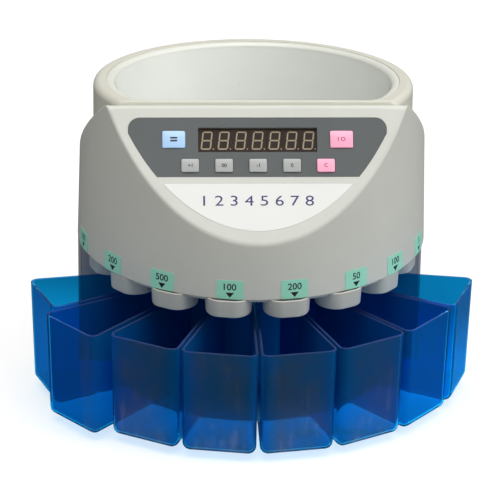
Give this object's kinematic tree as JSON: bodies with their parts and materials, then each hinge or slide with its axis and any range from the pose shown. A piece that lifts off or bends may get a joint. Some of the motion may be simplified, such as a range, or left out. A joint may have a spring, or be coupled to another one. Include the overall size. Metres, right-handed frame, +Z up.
{
  "type": "coin counter",
  "caption": "Table-top coin counter: round drum with hopper, sloping key panel and display, coin chutes under the front edge and a fan of pull-out coin boxes.",
  "frame": {"origin": "on the table under the middle of the part's overall box", "axes": "+Z up, -Y towards the operator, +X to the operator's right"},
  "size_m": [0.3548, 0.3216, 0.2564],
  "materials": {
    "cover_plastic": "fine satin moulded grain",
    "collar_plastic": "fine satin moulded grain",
    "bowl_plastic": "smooth satin",
    "rear_plastic": "fine satin moulded grain",
    "bay_paint": "satin grey paint",
    "chute_plastic": "smooth satin",
    "overlay_film": "matt printed film",
    "plate_white": "smooth",
    "window_smoke": "clear smoked",
    "digit_face": "matt",
    "key_blue": "satin",
    "key_pink": "satin",
    "key_grey": "satin",
    "label_mint": "matt printed paper film",
    "box_blue": "clear tinted",
    "steel": "ground",
    "disc_aluminium": "turned",
    "bronze": "turned",
    "rubber": "matt",
    "board_green": "solder mask",
    "black_plastic": "satin",
    "motor_paint": "satin",
    "core_iron": "varnished laminations",
    "rocker_red": "smooth"
  },
  "bodies": {
    "housing": {"base_plate": "bay_paint", "rubber_feet": "rubber", "base_screws": "steel", "rear_housing": "rear_plastic", "bay_wall": "bay_paint", "center_column": "rear_plastic", "sort_deck": "bay_paint", "coin_chutes": "chute_plastic", "front_cover": "cover_plastic", "hopper_collar": "collar_plastic", "hopper_bowl": "bowl_plastic", "coin_labels": "label_mint", "sorting_ring": "steel", "coin_sensors": "black_plastic", "upper_bearing": "bronze", "lower_bearing": "bronze", "drive_motor": "motor_paint", "motor_bracket": "bay_paint", "drive_belt": "rubber", "control_board": "board_green", "board_standoffs": "bronze", "transformer": "core_iron", "panel_overlay": "overlay_film", "lower_plate": "plate_white", "display_window": "window_smoke", "display_module": "digit_face", "display_board": "board_green", "board_screws": "steel", "key_switches": "black_plastic", "power_inlet": "black_plastic", "switch_frame": "black_plastic", "fuse_holder": "black_plastic"},
    "turntable": {"turntable": "disc_aluminium", "center_cone": "black_plastic", "spindle": "steel", "drive_pulley": "black_plastic"},
    "motor_rotor": {"motor_shaft": "steel", "motor_pulley": "black_plastic"},
    "coin_box_1": {"coin_box_1": "box_blue"},
    "coin_box_2": {"coin_box_2": "box_blue"},
    "coin_box_3": {"coin_box_3": "box_blue"},
    "coin_box_4": {"coin_box_4": "box_blue"},
    "coin_box_5": {"coin_box_5": "box_blue"},
    "coin_box_6": {"coin_box_6": "box_blue"},
    "coin_box_7": {"coin_box_7": "box_blue"},
    "coin_box_8": {"coin_box_8": "box_blue"},
    "key_left": {"key_left": "key_blue"},
    "key_right": {"key_right": "key_pink"},
    "key_1": {"key_1": "key_grey"},
    "key_2": {"key_2": "key_grey"},
    "key_3": {"key_3": "key_grey"},
    "key_4": {"key_4": "key_grey"},
    "key_5": {"key_5": "key_pink"},
    "power_rocker": {"power_rocker": "rocker_red"}
  },
  "joints": [
    {"name": "turntable_spin", "type": "hinge", "parent": "housing", "child": "turntable", "pos_m": [0, 0.02058, 0.156], "axis": [0, 0, 1], "continuous": true},
    {"name": "motor_spin", "type": "hinge", "parent": "housing", "child": "motor_rotor", "pos_m": [0, 0.09058, 0.0978], "axis": [0, 0, 1], "continuous": true},
    {"name": "coin_box_1_slide", "type": "slide", "parent": "housing", "child": "coin_box_1", "axis": [-0.9397, -0.342, 0], "range_m": [0, 0.122]},
    {"name": "coin_box_2_slide", "type": "slide", "parent": "housing", "child": "coin_box_2", "axis": [-0.766, -0.6428, 0], "range_m": [-0.012, 0.11]},
    {"name": "coin_box_3_slide", "type": "slide", "parent": "housing", "child": "coin_box_3", "axis": [-0.5, -0.866, 0], "range_m": [0, 0.122]},
    {"name": "coin_box_4_slide", "type": "slide", "parent": "housing", "child": "coin_box_4", "axis": [-0.1736, -0.9848, 0], "range_m": [0, 0.122]},
    {"name": "coin_box_5_slide", "type": "slide", "parent": "housing", "child": "coin_box_5", "axis": [0.1736, -0.9848, 0], "range_m": [0, 0.122]},
    {"name": "coin_box_6_slide", "type": "slide", "parent": "housing", "child": "coin_box_6", "axis": [0.5, -0.866, 0], "range_m": [0, 0.122]},
    {"name": "coin_box_7_slide", "type": "slide", "parent": "housing", "child": "coin_box_7", "axis": [0.766, -0.6428, 0], "range_m": [0, 0.122]},
    {"name": "coin_box_8_slide", "type": "slide", "parent": "housing", "child": "coin_box_8", "axis": [0.9397, -0.342, 0], "range_m": [0, 0.122]},
    {"name": "key_left_press", "type": "slide", "parent": "housing", "child": "key_left", "axis": [0, 0.7965, -0.6046], "range_m": [0, 0.0005], "stiffness_N_per_m": 600},
    {"name": "key_right_press", "type": "slide", "parent": "housing", "child": "key_right", "axis": [0, 0.7965, -0.6046], "range_m": [0, 0.0005], "stiffness_N_per_m": 600},
    {"name": "key_1_press", "type": "slide", "parent": "housing", "child": "key_1", "axis": [0, 0.7965, -0.6046], "range_m": [0, 0.0005], "stiffness_N_per_m": 600},
    {"name": "key_2_press", "type": "slide", "parent": "housing", "child": "key_2", "axis": [0, 0.7965, -0.6046], "range_m": [0, 0.0005], "stiffness_N_per_m": 600},
    {"name": "key_3_press", "type": "slide", "parent": "housing", "child": "key_3", "axis": [0, 0.7965, -0.6046], "range_m": [0, 0.0005], "stiffness_N_per_m": 600},
    {"name": "key_4_press", "type": "slide", "parent": "housing", "child": "key_4", "axis": [0, 0.7965, -0.6046], "range_m": [0, 0.0005], "stiffness_N_per_m": 600},
    {"name": "key_5_press", "type": "slide", "parent": "housing", "child": "key_5", "axis": [0, 0.7965, -0.6046], "range_m": [0, 0.0005], "stiffness_N_per_m": 600},
    {"name": "power_rocker_tilt", "type": "hinge", "parent": "housing", "child": "power_rocker", "pos_m": [0.01, 0.14808, 0.048], "axis": [1, 0, 0], "range_deg": [0, 18]}
  ],
  "couplings": [
    {"joint": "motor_spin", "follows": "turntable_spin", "ratio": 2.4}
  ]
}
